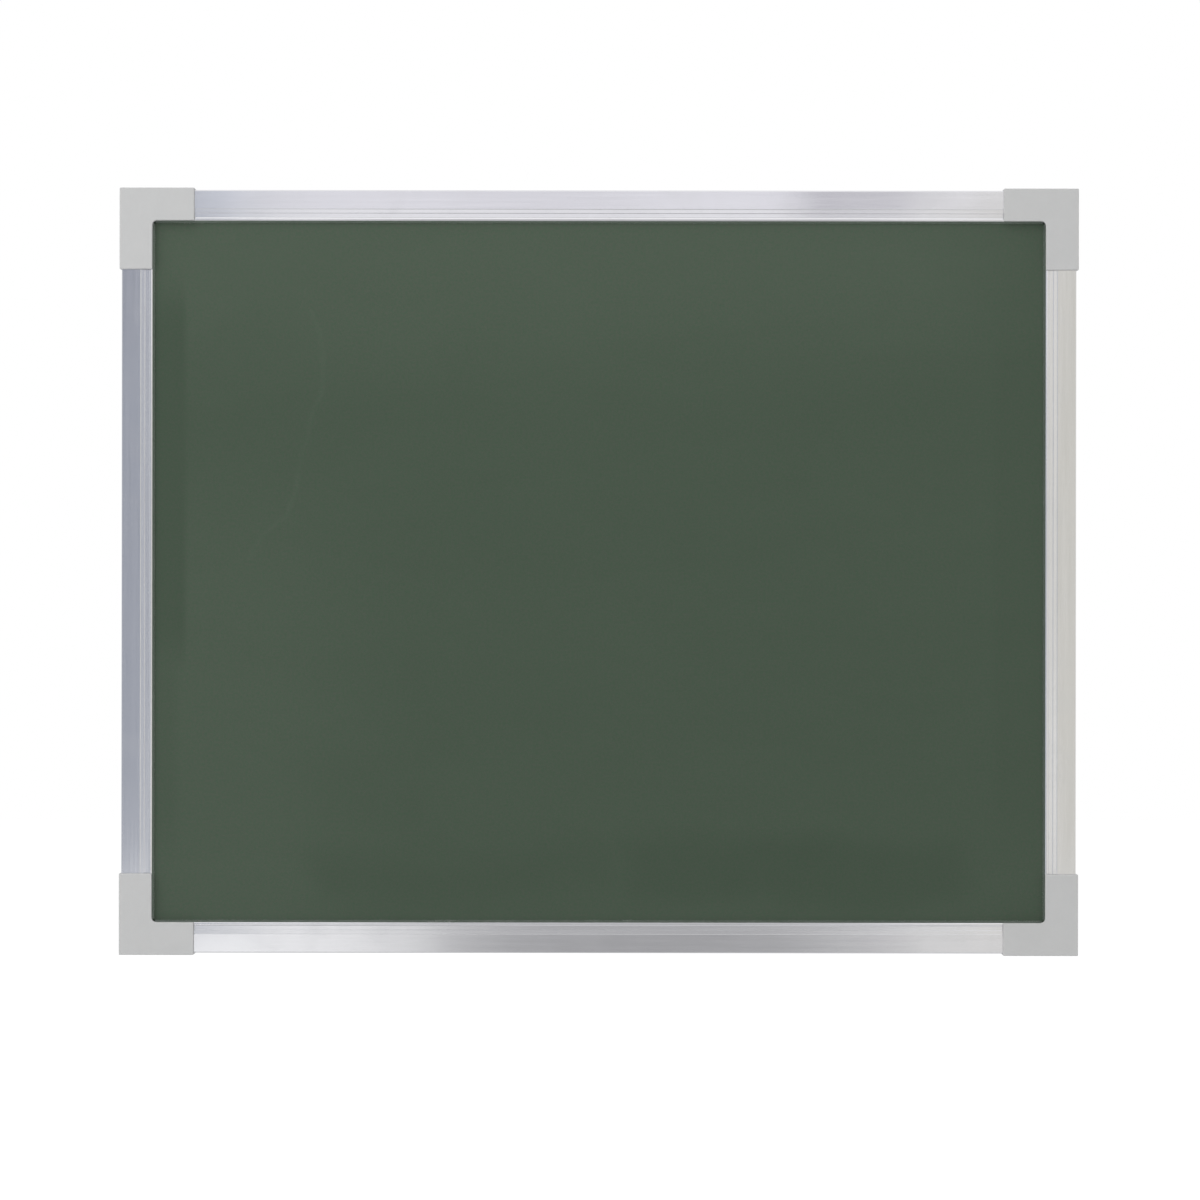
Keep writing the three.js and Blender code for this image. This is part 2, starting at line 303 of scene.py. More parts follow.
class Effects:
    """The effects that more than one finish uses, each a shader node group built once."""

    def __init__(self) -> None:
        """Starts with no groups made."""
        self.made: dict[str, bpy.types.NodeTree] = {}

    def group(
        self, name: str, ins: Sequence[Port], outs: Sequence[Port], fill: Callable
    ) -> bpy.types.NodeTree:
        """Makes a group the first time that it is asked for.

        Args:
            name: the group's name.
            ins: its inputs.
            outs: its outputs.
            fill: adds its nodes, from a bench, the group's inputs and its outputs.

        Returns:
            The group's tree.
        """
        if name not in self.made:
            tree = bpy.data.node_groups.new(name, "ShaderNodeTree")
            for port in ins:
                socket = tree.interface.new_socket(port.name, in_out="INPUT", socket_type=port.kind)
                if port.value is not None:
                    socket.default_value = port.value
            for port in outs:
                tree.interface.new_socket(port.name, in_out="OUTPUT", socket_type=port.kind)
            bench = Bench(tree)
            given = bench.add("NodeGroupInput").outputs
            taken = bench.add("NodeGroupOutput").inputs
            fill(bench, given, taken)
            self.made[name] = tree
        return self.made[name]

    def place(self, bench: Bench, tree: bpy.types.NodeTree, **values: Any) -> bpy.types.NodeOutputs:
        """Puts a group in a material with values for its inputs, and returns its outputs."""
        return bench.add("ShaderNodeGroup", values, node_tree=tree).outputs

    def grain(self) -> bpy.types.NodeTree:
        """Returns the grain of a moulded, sprayed or pressed surface: fine pits and broad clouds."""

        def fill(bench: Bench, given: Any, taken: Any) -> None:
            """Adds a fine and a broad noise."""
            fine = bench.calc("DIVIDE", 1.0, given["Cell"])
            broad = bench.calc("DIVIDE", 0.07, given["Cell"])
            bench.feed(taken["Fine"], bench.noise(given["Place"], fine, detail=3, rough=0.6))
            bench.feed(taken["Broad"], bench.noise(given["Place"], broad, detail=3, rough=0.55, bend=0.4))

        return self.group("grain", [PLACE, Port("Cell", value=0.0003)], [Port("Fine"), Port("Broad")], fill)

    def drawn_lines(self) -> bpy.types.NodeTree:
        """Returns the lines that a die or a roll leaves along x: thin lines and wider bands."""

        def fill(bench: Bench, given: Any, taken: Any) -> None:
            """Stretches two noises along x."""
            thin = bench.mapped(given["Place"], scale=(0.012, 1, 1))
            wide = bench.mapped(given["Place"], scale=(0.02, 1, 1), shift=(3, 7, 1))
            fine = bench.calc("DIVIDE", 1.0, given["Spacing"])
            bench.feed(taken["Lines"], bench.noise(thin, fine, detail=4, rough=0.7))
            bench.feed(taken["Bands"], bench.noise(wide, bench.calc("MULTIPLY", fine, 0.13)))

        ins = [PLACE, Port("Spacing", value=0.0004)]
        return self.group("drawn_lines", ins, [Port("Lines"), Port("Bands")], fill)

    def smudges(self) -> bpy.types.NodeTree:
        """Returns the soft marks of hands and cloths."""

        def fill(bench: Bench, given: Any, taken: Any) -> None:
            """Bends a broad noise and keeps its upper part."""
            scale = bench.calc("DIVIDE", 1.0, given["Width"])
            wide = bench.noise(given["Place"], scale, detail=4, rough=0.55, bend=1.2)
            bench.feed(taken["Mask"], bench.spread(wide, (0.45, 0.75), shape=Shape.EASED))

        return self.group("smudges", [PLACE, Port("Width", value=0.03)], [Port("Mask")], fill)

    def chalk_dust(self) -> bpy.types.NodeTree:
        """Returns a film of chalk dust, thickest on what faces upwards."""

        def fill(bench: Bench, given: Any, taken: Any) -> None:
            """Weighs an uneven film by how far the surface faces upwards."""
            normal = bench.add("ShaderNodeNewGeometry").outputs["Normal"]
            upward = bench.add("ShaderNodeSeparateXYZ", {0: normal}).outputs["Z"]
            ledge = bench.spread(upward, (0.25, 0.95), (0.12, 1), Shape.EASED)
            cloud = bench.noise(given["Place"], 240, detail=5, rough=0.65, bend=0.5)
            specks = bench.noise(given["Place"], 2600, rough=0.6)
            film = bench.blended(bench.spread(specks, (0.5, 0.7)), bench.spread(cloud, (0.38, 0.68)), 0.35)
            mask = bench.calc("MULTIPLY", bench.calc("MULTIPLY", film, ledge), given["Amount"])
            bench.feed(taken["Mask"], bench.calc("MINIMUM", mask, 1.0))
            bench.feed(taken["Colour"], bench.tint(mask, given["Colour"], given["Dust"]))

        colour = Port("Colour", "NodeSocketColor")
        dust = Port("Dust", "NodeSocketColor", (0.72, 0.73, 0.7, 1))
        ins = [PLACE, colour, dust, Port("Amount", value=0.3)]
        return self.group("chalk_dust", ins, [colour, Port("Mask")], fill)

    def worn_edges(self) -> bpy.types.NodeTree:
        """Returns the rubbed places on rounded edges, which carry the value rounded_edge."""

        def fill(bench: Bench, given: Any, taken: Any) -> None:
            """Breaks the edges up with noise."""
            edge = bench.add("ShaderNodeAttribute", attribute_name="rounded_edge").outputs["Fac"]
            rubbed = bench.noise(given["Place"], 420, detail=4, rough=0.7)
            broken = bench.spread(rubbed, (0.4, 0.62), shape=Shape.EASED)
            bench.feed(taken["Mask"], bench.calc("MULTIPLY", edge, broken))

        return self.group("worn_edges", [PLACE], [Port("Mask")], fill)

    def soft_patch(self) -> bpy.types.NodeTree:
        """Returns a patch with round corners and a soft edge."""

        def fill(bench: Bench, given: Any, taken: Any) -> None:
            """Measures how many feathers away a rectangle is, and fades it."""
            away = bench.vector("ABSOLUTE", bench.vector("SUBTRACT", given["Place"], given["Centre"]))
            past = bench.vector("MAXIMUM", bench.vector("SUBTRACT", away, given["Half"]), (0, 0, 0))
            feathers = bench.vector("DIVIDE", past, given["Feather"])
            count = bench.vector("LENGTH", feathers, output="Value")
            bench.feed(taken["Mask"], bench.spread(count, (0, 1), (1, 0), Shape.EASED))

        ins = [PLACE] + [Port(name, "NodeSocketVector") for name in ("Centre", "Half", "Feather")]
        return self.group("soft_patch", ins, [Port("Mask")], fill)


effects = Effects()


# --------------------------------------------------------------------------- finishes


@dataclass(frozen=True)
class Finish(ABC):
    """What a surface is made of and how it was finished. Grain and relief are in metres."""

    slot: str
    colour: Colour
    roughness: float

    def label(self) -> str:
        """Returns the material's name."""
        return self.slot

    def around(self, smoother: float, rougher: float) -> Pair:
        """Returns a range round the roughness."""
        return (self.roughness - smoother, self.roughness + rougher)

    def material(self) -> bpy.types.Material:
        """Builds the material, or returns the one that was already built."""
        found = bpy.data.materials.get(self.label() + "_finish")
        if found is not None:
            return found
        made = bpy.data.materials.new(self.label() + "_finish")
        made.use_nodes = True
        bench = Bench(made.node_tree)
        shader = made.node_tree.nodes["Principled BSDF"]
        self.paint(bench, shader)
        return made

    @abstractmethod
    def paint(self, bench: Bench, shader: bpy.types.Node) -> None:
        """Adds the nodes that give colour, roughness and relief.

        Args:
            bench: places nodes in the material.
            shader: the material's Principled shader.
        """


@dataclass(frozen=True)
class Patch:
    """A soft rectangle on the board or a card: its middle, half its size and its feathers, in mm."""

    middle: Pair
    half: Pair
    feather: Pair
    strength: float = 1.0
    plane: Plane = Plane.FACE

    def mask(self, bench: Bench, place: Socket) -> Socket:
        """Returns the patch's mask on a surface. Along the axis square to its plane, it has no end.

        Args:
            bench: the material's bench.
            place: the place on the surface.
        """
        outs = effects.place(
            bench,
            effects.soft_patch(),
            Place=place,
            Centre=self.plane.lay(*self.middle, 0),
            Half=self.plane.lay(*self.half, 2000),
            Feather=self.plane.lay(*self.feather, 1000),
        )
        return bench.calc("MULTIPLY", outs["Mask"], self.strength)


@dataclass(frozen=True)
class ChalkCoating(Finish):
    """The matte green coating, with the film of dust that a cloth leaves when it wipes a board, and painted
    reflection and painted light laid in that film.
    """

    film: Colour = (0.097, 0.127, 0.095)
    least_film: float = 0.14
    cloud_film: float = 0.1
    # Painted reflection and painted light in the dust film: the strips by the left and right rails and the
    # patches towards the bottom darken the green where its sheen reflects less, and the patches at the top
    # and low on the left lighten it.
    painted_dark_strips: tuple[Patch, ...] = ()
    painted_dark_patches: tuple[Patch, ...] = ()
    painted_light_patches: tuple[Patch, ...] = ()
    tooth: float = 0.00035
    relief: float = 0.00002
    mark: tuple[Pair, ...] = (
        (-150, 136),
        (-143, 117),
        (-144, 99),
        (-155, 62),
        (-162, 30),
        (-175, 20),
        (-184, 7),
    )
    mark_edge: Pair = (0.0003, 0.0024)

    def paint(self, bench: Bench, shader: bpy.types.Node) -> None:
        """Lays the dust film, which carries painted reflection and painted light, over the green and roughens
        it with a fine tooth.
        """
        place = bench.coordinates()
        grain = effects.place(bench, effects.grain(), Place=place, Cell=self.tooth)
        # The dust film carries painted reflection and painted light, which darken and lighten the green in
        # places.
        film_with_painted_light = self.film_and_painted_light(bench, place, grain["Broad"])
        speck = bench.spread(grain["Fine"], (0.25, 0.75), (0.915, 1.085))
        mottle = bench.spread(bench.noise(place, 700, detail=3, rough=0.65), (0.35, 0.65))
        tooth = bench.scaled(bench.tint(mottle, (0.9, 1.0, 0.935), (1.1, 0.99, 1.04)), speck)
        colour = bench.tint(1.0, bench.tint(film_with_painted_light, self.colour, self.film), tooth, "MULTIPLY")
        values = {
            "Base Color": bench.tint(self.chalked(bench, place), colour, times(self.film, 1.25)),
            "Roughness": bench.spread(film_with_painted_light, (0, 1), self.around(0.08, 0.1)),
            "Specular IOR Level": 0.22,
            "Normal": bench.bump(grain["Fine"], self.relief, 0.5),
        }
        bench.supply(shader, values)

    def film_and_painted_light(self, bench: Bench, place: Socket, broad: Socket) -> Socket:
        """Returns how much dust film there is, with painted reflection and painted light in it: none in the
        painted dark strips by the rails, little in the painted dark patches towards the bottom, and more in
        the painted light patches at the top and low on the left.

        Args:
            bench: the material's bench.
            place: the place on the surface.
            broad: the grain's clouds.
        """
        bent = bench.shaken(place, scale=13.0, detail=4.0, reach=(0.036, 0.036, 0.036))
        patchy = bench.spread(bench.noise(place, 14, detail=3, bend=0.5), (0.36, 0.6), (0.78, 1), Shape.EASED)
        # Painted reflection: the patches towards the bottom thin the dust film, darkening the green there.
        painted_dark_patchy = bench.calc("MULTIPLY", self.strongest(bench, bent, self.painted_dark_patches), patchy)
        # Painted reflection: the strips by the left and right rails take the dust film away, darkening the
        # green there.
        painted_dark_mask = bench.calc("MAXIMUM", painted_dark_patchy, self.strongest(bench, place, self.painted_dark_strips))
        swept = bench.mapped(bent, scale=(9, 1, 30), turn=(0, 0.35, 0))
        strokes = bench.noise(swept, 1.0, detail=4, rough=0.55, bend=0.8)
        clouds = bench.spread(bench.blended(broad, strokes, 0.4), (0.3, 0.7))
        even = bench.calc("MULTIPLY_ADD", clouds, self.cloud_film, self.least_film)
        # Painted light: the patches at the top and low on the left thicken the dust film, lightening the
        # green there.
        film = bench.calc("ADD", even, self.strongest(bench, bent, self.painted_light_patches))
        return bench.calc("MULTIPLY", film, bench.calc("SUBTRACT", 1.0, painted_dark_mask))

    def strongest(self, bench: Bench, place: Socket, patches: Sequence[Patch]) -> Socket:
        """Returns the strongest of one or more patches at each place."""
        return bench.most("MAXIMUM", [patch.mask(bench, place) for patch in patches])

    def chalked(self, bench: Bench, place: Socket) -> Socket:
        """Returns the faint mark that chalk left near the left edge, in strokes that meet.

        Args:
            bench: the material's bench.
            place: the place on the surface.
        """
        bent = bench.shaken(place, scale=45.0, detail=3.0, reach=(0.006, 0, 0.006))
        level = bench.vector("MULTIPLY", bent, (1, 0, 1))
        strokes = [self.from_stroke(bench, level, *ends) for ends in zip(self.mark, self.mark[1:])]
        line = bench.spread(bench.most("MINIMUM", strokes), self.mark_edge, (1, 0), Shape.EASED)
        faded = bench.spread(bench.noise(place, 75, detail=3, rough=0.6), (0.36, 0.62), (0.035, 0.1))
        crumbs = bench.spread(bench.noise(place, 1100, detail=3), (0.35, 0.65), (0.5, 1.2))
        return bench.calc("MULTIPLY", line, bench.calc("MULTIPLY", faded, crumbs))

    def from_stroke(self, bench: Bench, place: Socket, start: Pair, end: Pair) -> Socket:
        """Returns how far a place is from a straight stroke, in metres.

        Args:
            bench: the material's bench.
            place: the place, brought down to the plane y = 0.
            start: the x and z of one end of the stroke in mm.
            end: the x and z of its other end.
        """
        first = Plane.FACE.lay(*start, 0)
        along = Plane.FACE.lay(*end, 0) - first
        apart = bench.vector("SUBTRACT", place, first)
        share = bench.vector("DOT_PRODUCT", apart, along / along.length_squared, output="Value")
        held = bench.calc("MINIMUM", bench.calc("MAXIMUM", share, 0.0), 1.0)
        return bench.vector("DISTANCE", apart, bench.scaled(along, held), output="Value")


@dataclass(frozen=True)
class SatinAluminium(Finish):
    """Extruded and satin anodised aluminium, with the die's lines along the rail."""

    run: Run = Run.LEVEL
    spacing: float = 0.00022
    relief: float = 0.000002
    dust: float = 0.07

    def label(self) -> str:
        """Returns the name with the way the rail runs."""
        return f"{self.slot}_{self.run.name.lower()}"

    def paint(self, bench: Bench, shader: bpy.types.Node) -> None:
        """Adds drawn lines, smudges and a little chalk dust."""
        place = bench.coordinates()
        along = bench.mapped(place, turn=(0, self.run.value, 0))
        drawn = effects.place(bench, effects.drawn_lines(), Place=along, Spacing=self.spacing)
        marks = effects.place(bench, effects.smudges(), Place=place, Width=0.035)["Mask"]
        tone = bench.blended(drawn["Lines"], drawn["Bands"], 0.6)
        handled = bench.calc("MULTIPLY_ADD", marks, -0.45, bench.spread(tone, (0.3, 0.7)))
        dark, light = times(self.colour, 0.95), times(self.colour, 1.03)
        metal = bench.tint(bench.calc("ADD", handled, 0.15), dark, light)
        dust = effects.place(bench, effects.chalk_dust(), Place=place, Colour=metal, Amount=self.dust)
        satin = bench.spread(tone, (0.3, 0.7), self.around(0.03, 0.03))
        dulled = bench.calc("MULTIPLY_ADD", marks, 0.05, satin)
        values = {
            "Base Color": dust["Colour"],
            "Metallic": bench.spread(dust["Mask"], (0, 1), (1, 0)),
            "Roughness": bench.calc("MULTIPLY_ADD", dust["Mask"], 0.4, dulled),
            "Normal": bench.bump(drawn["Lines"], self.relief, 0.5),
        }
        bench.supply(shader, values)


@dataclass(frozen=True)
class MouldedPlastic(Finish):
    """Moulded plastic with a spark-eroded texture."""

    pit: float = 0.00028
    relief: float = 0.000016
    dust: float = 0.35

    def paint(self, bench: Bench, shader: bpy.types.Node) -> None:
        """Adds the mould's texture, rubbed edges, smudges and settled dust."""
        place = bench.coordinates()
        grain = effects.place(bench, effects.grain(), Place=place, Cell=self.pit)
        marks = effects.place(bench, effects.smudges(), Place=place, Width=0.018)["Mask"]
        worn = effects.place(bench, effects.worn_edges(), Place=place)["Mask"]
        flecks = bench.spread(bench.blended(grain["Fine"], grain["Broad"], 0.75), (0.35, 0.65))
        body = bench.tint(flecks, times(self.colour, 0.97), times(self.colour, 1.025))
        rubbed = bench.tint(bench.calc("MULTIPLY", worn, 0.5), body, times(self.colour, 1.16))
        handled = bench.tint(bench.calc("MULTIPLY", marks, 0.18), rubbed, times(self.colour, 0.9))
        dust = effects.place(bench, effects.chalk_dust(), Place=place, Colour=handled, Amount=self.dust)
        base = bench.spread(grain["Fine"], (0.3, 0.7), self.around(0.05, 0.05))
        polished = bench.calc("MULTIPLY_ADD", worn, -0.12, base)
        smudged = bench.calc("MULTIPLY_ADD", marks, -0.07, polished)
        values = {
            "Base Color": dust["Colour"],
            "Roughness": bench.calc("MULTIPLY_ADD", dust["Mask"], 0.3, smudged),
            "Specular IOR Level": 0.4,
            "Normal": bench.bump(grain["Fine"], self.relief, 0.7),
        }
        bench.supply(shader, values)


@dataclass(frozen=True)
class Fibreboard(Finish):
    """Pressed wood fibre, in thin layers with darker shives."""

    shive: Colour = (0.16, 0.09, 0.04)
    fibre: float = 0.0005
    relief: float = 0.00008

    def paint(self, bench: Bench, shader: bpy.types.Node) -> None:
        """Adds layers, fibres and dark bits."""
        place = bench.coordinates()
        pressed = bench.mapped(place, scale=(60, 2600, 60))
        layers = bench.noise(pressed, 1.0, detail=4, rough=0.6, bend=0.3)
        grain = effects.place(bench, effects.grain(), Place=place, Cell=self.fibre)
        body = bench.tint(bench.spread(layers, (0.3, 0.7)), times(self.colour, 0.8), self.colour)
        bits = bench.spread(grain["Fine"], (0.6, 0.72), shape=Shape.EASED)
        values = {
            "Base Color": bench.tint(bits, body, self.shive),
            "Roughness": self.roughness,
            "Specular IOR Level": 0.15,
            "Normal": bench.bump(bench.calc("ADD", layers, grain["Fine"]), self.relief, 0.6),
        }
        bench.supply(shader, values)


@dataclass(frozen=True)
class GalvanisedSheet(Finish):
    """Thin zinc-coated steel, with the flowers of zinc and the mill's faint lines."""

    flower: float = 0.009
    rolled: float = 0.0006
    relief: float = 0.00001

    def paint(self, bench: Bench, shader: bpy.types.Node) -> None:
        """Adds zinc flowers with ragged edges, rolling lines and a dull bloom."""
        place = bench.coordinates()
        ragged = bench.shaken(place, scale=500.0, detail=3.0, reach=(0.003, 0.003, 0.003))
        flowers = bench.add("ShaderNodeTexVoronoi", {"Vector": ragged, "Scale": 1 / self.flower})
        share = bench.out("ShaderNodeSeparateColor", {0: flowers.outputs["Color"]})
        lines = effects.place(bench, effects.drawn_lines(), Place=place, Spacing=self.rolled)["Lines"]
        marks = effects.place(bench, effects.smudges(), Place=place, Width=0.06)["Mask"]
        tone = bench.blended(lines, share, 0.3)
        dull = bench.spread(share, (0, 1), self.around(0.07, 0.09))
        values = {
            "Base Color": bench.tint(tone, times(self.colour, 0.84), times(self.colour, 1.12)),
            "Metallic": 1.0,
            "Roughness": bench.calc("MULTIPLY_ADD", marks, 0.1, dull),
            "Normal": bench.bump(tone, self.relief, 0.4),
        }
        bench.supply(shader, values)


@dataclass(frozen=True)
class ZincSteel(Finish):
    """Bright zinc plating with a faint blue passivation."""

    crystal: float = 0.00012
    blue: Colour = (0.9, 0.95, 1.04)
    grime: Colour = (0.3, 0.29, 0.27)
    relief: float = 0.000003

    def paint(self, bench: Bench, shader: bpy.types.Node) -> None:
        """Adds plating tone, tool marks and a rub on the head."""
        place = bench.coordinates()
        grain = effects.place(bench, effects.grain(), Place=place, Cell=self.crystal)
        marks = effects.place(bench, effects.smudges(), Place=place, Width=0.002)["Mask"]
        cool = tuple(part * tint for part, tint in zip(self.colour, self.blue))
        plated = bench.tint(bench.spread(grain["Broad"], (0.35, 0.65)), self.colour, cool)
        rough = bench.spread(grain["Fine"], (0.3, 0.7), self.around(0.06, 0.08))
        values = {
            "Base Color": bench.tint(bench.calc("MULTIPLY", marks, 0.4), plated, self.grime),
            "Metallic": 1.0,
            "Roughness": bench.calc("MULTIPLY_ADD", marks, 0.15, rough),
            "Normal": bench.bump(grain["Fine"], self.relief, 0.5),
        }
        bench.supply(shader, values)


CHALK_GREEN = ChalkCoating(
    slot="chalk_green",
    colour=(0.052, 0.0765, 0.0525),
    roughness=0.78,
    # Painted reflection: darker strips by the left and right rails.
    painted_dark_strips=(
        Patch((-237, 50), (18.5, 74), (5, 38), 0.85),
        Patch((-237, -60), (12, 60), (9, 40), 0.35),
        Patch((236, -8), (26, 108), (7, 34), 0.3),
    ),
    # Painted reflection: darker patches towards the bottom.
    painted_dark_patches=(
        Patch((-72, -159), (68, 2), (20, 20), 0.5),
        Patch((100, -155), (78, 6), (21, 21), 0.95),
    ),
    # Painted light: lighter patches at the top and low on the left.
    painted_light_patches=(
        Patch((-25, 170), (185, 4), (88, 88), 0.27),
        Patch((-205, -90), (20, 70), (90, 90), 0.15),
    ),
)
ALUMINIUM = {run: SatinAluminium("satin_aluminium", (0.85, 0.85, 0.868), 0.21, run) for run in Run}
COVER_PLASTIC = MouldedPlastic("cover_plastic", (0.535, 0.535, 0.535), roughness=0.5, dust=0.2)
BLOCK_PLASTIC = MouldedPlastic("block_plastic", (0.3, 0.3, 0.31), roughness=0.55, pit=0.0004, dust=0.1)
FIBREBOARD = Fibreboard("fibreboard", (0.33, 0.2, 0.1), roughness=0.9)
GALVANISED = GalvanisedSheet("galvanised_sheet", (0.46, 0.475, 0.485), roughness=0.42)
ZINC_STEEL = ZincSteel("zinc_steel", (0.56, 0.57, 0.59), roughness=0.3)


# --------------------------------------------------------------------------- mesh work


def place_of(inset_x: float, depth: float, inset_z: float) -> Vector:
    """Returns a point of the lower left corner in metres, from its insets and depth in mm."""
    return Vector((inset_x, -depth, inset_z)) * MM


def bevel(
    bm: bmesh.types.BMesh,
    parts: Iterable[Any],
    width: float,
    steps: int,
    affect: str = "EDGES",
    hold: bool = False,
) -> list[bmesh.types.BMFace]:
    """Rounds edges or points.

    Args:
        bm: the mesh.
        parts: the edges or points to round.
        width: the width of the rounding in mm.
        steps: how many faces go across it.
        affect: EDGES or VERTICES.
        hold: whether roundings stop where they meet each other.

    Returns:
        The new faces.
    """
    made = bmesh.ops.bevel(
        bm,
        geom=list(parts),
        offset=width * MM,
        offset_type="OFFSET",
        segments=steps,
        profile=0.5,
        affect=affect,
        clamp_overlap=hold,
        material=-1,
    )
    return made["faces"]


def round_edges(bm: bmesh.types.BMesh, edges: Iterable[bmesh.types.BMEdge], width: float, steps: int) -> None:
    """Rounds edges and marks the new faces as rounded.

    Args:
        bm: the mesh.
        edges: the edges to round.
        width: the width of the rounding in mm.
        steps: how many faces go across it.
    """
    layer = bm.faces.layers.float.get("rounded_edge") or bm.faces.layers.float.new("rounded_edge")
    for face in bevel(bm, edges, width, steps, hold=True):
        face[layer] = 1.0


def sharp_edges(bm: bmesh.types.BMesh, angle: float, shortest: float = 0.0) -> list[bmesh.types.BMEdge]:
    """Finds the edges whose two faces turn by more than an angle.

    Args:
        bm: the mesh.
        angle: the least turn in degrees.
        shortest: the least length in mm.

    Returns:
        The edges.
    """
    limit = math.radians(angle)
    long_enough = (edge for edge in bm.edges if edge.calc_length() >= shortest * MM)
    return [edge for edge in long_enough if len(edge.link_faces) == 2 and edge.calc_face_angle() > limit]


def close_shape(bm: bmesh.types.BMesh) -> None:
    """Merges doubled points and turns all faces outwards."""
    bmesh.ops.remove_doubles(bm, verts=bm.verts[:], dist=DOUBLED)
    bmesh.ops.recalc_face_normals(bm, faces=bm.faces[:])


def turned(outline: Sequence[Pair], steps: int) -> bmesh.types.BMesh:
    """Spins an outline about an axis square to the wall.

    Args:
        outline: pairs of radius and depth in mm, from one end of the axis to the other.
        steps: the number of faces round it.

    Returns:
        The closed shape, round the origin.
    """
    bm = bmesh.new()
    points = [bm.verts.new(place_of(radius, depth, 0)) for radius, depth in outline]
    edges = [bm.edges.new(pair) for pair in zip(points, points[1:])]
    bmesh.ops.spin(
        bm,
        geom=points + edges,
        cent=(0, 0, 0),
        axis=(0, 1, 0),
        angle=2 * math.pi,
        steps=steps,
        use_merge=True,
    )
    close_shape(bm)
    return bm


def to_object(name: str, bm: bmesh.types.BMesh) -> bpy.types.Object:
    """Makes an object at the origin from a bmesh.

    Args:
        name: the object's name.
        bm: its shape, which is freed.

    Returns:
        The linked object.
    """
    mesh = bpy.data.meshes.new(name)
    bm.to_mesh(mesh)
    bm.free()
    made = bpy.data.objects.new(name, mesh)
    bpy.context.scene.collection.objects.link(made)
    return made


def cut(name: str, bm: bmesh.types.BMesh, cutter: bmesh.types.BMesh) -> bmesh.types.BMesh:
    """Cuts one closed shape out of another.

    Args:
        name: the name of the shape that is cut.
        bm: the shape to cut, which is freed.
        cutter: the shape to cut with, which is freed.

    Returns:
        What is left.

    Raises:
        ValueError: if the cut leaves nothing.
    """
    body = to_object(name, bm)
    tool = to_object(name + "_cutter", cutter)
    step = body.modifiers.new("cut", "BOOLEAN")
    step.operation = "DIFFERENCE"
    step.solver = "EXACT"
    step.use_self = True
    step.object = tool
    depsgraph = bpy.context.evaluated_depsgraph_get()
    left = bpy.data.meshes.new_from_object(body.evaluated_get(depsgraph))
    result = bmesh.new()
    result.from_mesh(left)
    spent = [left]
    for used in (body, tool):
        spent.append(used.data)
        bpy.data.objects.remove(used)
    for mesh in spent:
        bpy.data.meshes.remove(mesh)
    bmesh.ops.remove_doubles(result, verts=result.verts[:], dist=DOUBLED)
    if not result.faces:
        raise ValueError(f"nothing is left of {name} after the cut")
    return result


@dataclass
class SubAssembly(ABC):
    """A group of pieces that a workshop would put together on its own, placed by the frame's outer sides."""

    half_width: float = 248.9
    half_height: float = 198.9
    pieces: list[bpy.types.Object] = field(default_factory=list, init=False)

    @abstractmethod
    def build(self) -> None:
        """Builds the pieces and dresses them."""

    def finish_piece(
        self, name: str, bm: bmesh.types.BMesh, finish: Finish, node: str, smooth: float = 32
    ) -> None:
        """Makes a piece of a shape, which stands for a CAD node and rides where it rides.

        Args:
            name: the piece's name.
            bm: its closed shape, in place.
            finish: what it is made of.
            node: the CAD node that it stands for.
            smooth: the angle in degrees above which an edge stays sharp.
        """
        piece = to_object(name, bm)
        piece.data.materials.append(finish.material())
        piece.data.shade_smooth()
        piece.data.set_sharp_from_angle(angle=math.radians(smooth))
        even = piece.modifiers.new("even_normals", "WEIGHTED_NORMAL")
        even.keep_sharp = True
        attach(piece, frame["nodes"][node]["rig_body"])
        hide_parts(node)
        self.pieces.append(piece)

    def dress_node(self, node: str, finish: Finish) -> None:
        """Gives a CAD node that stays its finish.

        Args:
            node: the node's name.
            finish: what it is made of.
        """
        kept = frame["nodes"][node]
        for holder in kept.material_slots:
            holder.material = finish.material()
        self.pieces.append(kept)


# --------------------------------------------------------------------------- the board


@dataclass
class WritingPanel(SubAssembly):
    """The green sheet, the fibreboard core behind it and the backing sheet."""

    layers: tuple[tuple[str, Finish], ...] = (
        ("writing_sheet", CHALK_GREEN),
        ("core_board", FIBREBOARD),
        ("back_sheet", GALVANISED),
    )

    def build(self) -> None:
        """Dresses the three layers, whose plain flat shapes are right as they are."""
        for node, finish in self.layers:
            self.dress_node(node, finish)


